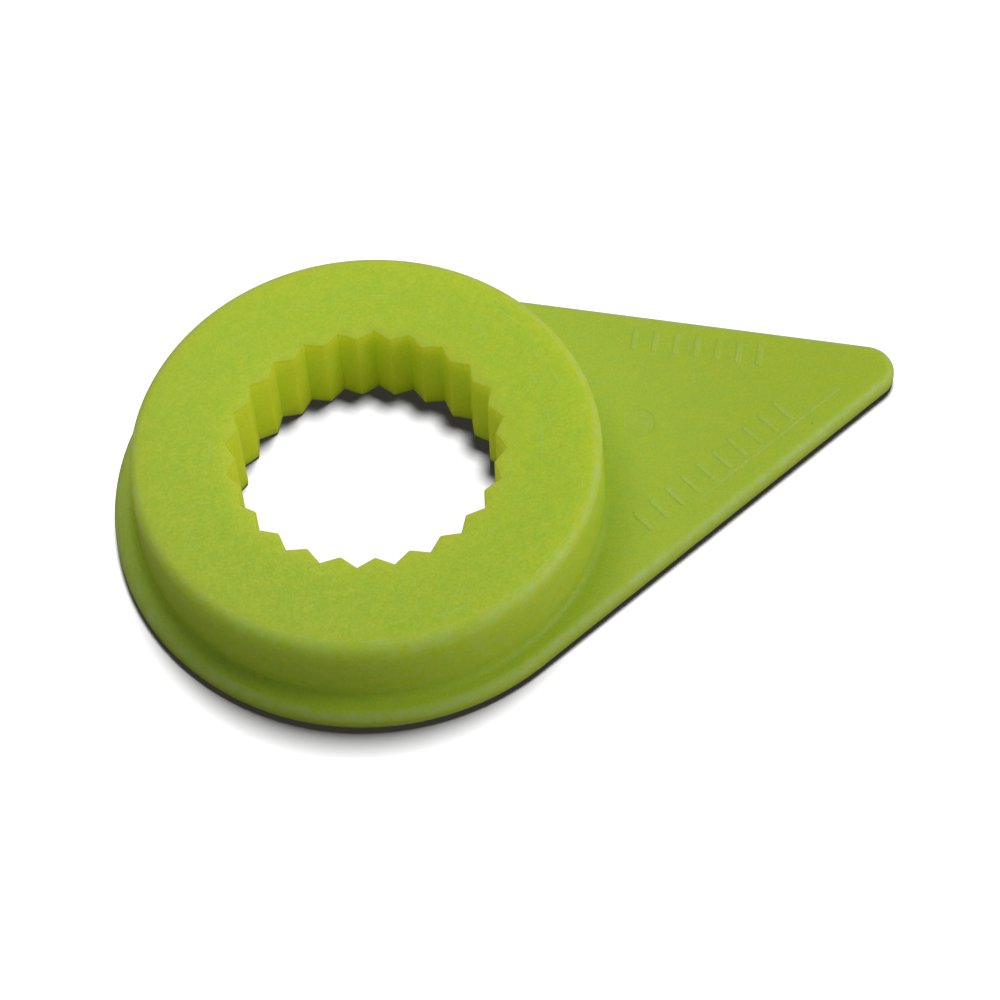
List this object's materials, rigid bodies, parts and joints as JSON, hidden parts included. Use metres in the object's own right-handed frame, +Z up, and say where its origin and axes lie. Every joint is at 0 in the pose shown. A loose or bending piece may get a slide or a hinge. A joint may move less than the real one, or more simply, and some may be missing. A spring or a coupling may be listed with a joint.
{
  "type": "wheel nut indicator",
  "caption": "Soft collar with a V-grooved socket that grips a hexagon wheel nut, on a flat teardrop plate whose pointed end shows at a glance if the nut has turned.",
  "frame": {"origin": "nut socket's axis, level with the flat underside", "axes": "+X from the socket's axis to the pointer's tip, +Z up through the collar"},
  "size_m": [0.1128, 0.0716, 0.0135],
  "materials": {
    "indicator_plastic": "satin moulded skin, bright fluorescent yellow-green, slightly translucent"
  },
  "bodies": {
    "root": {"nut_indicator": "indicator_plastic"}
  },
  "joints": []
}
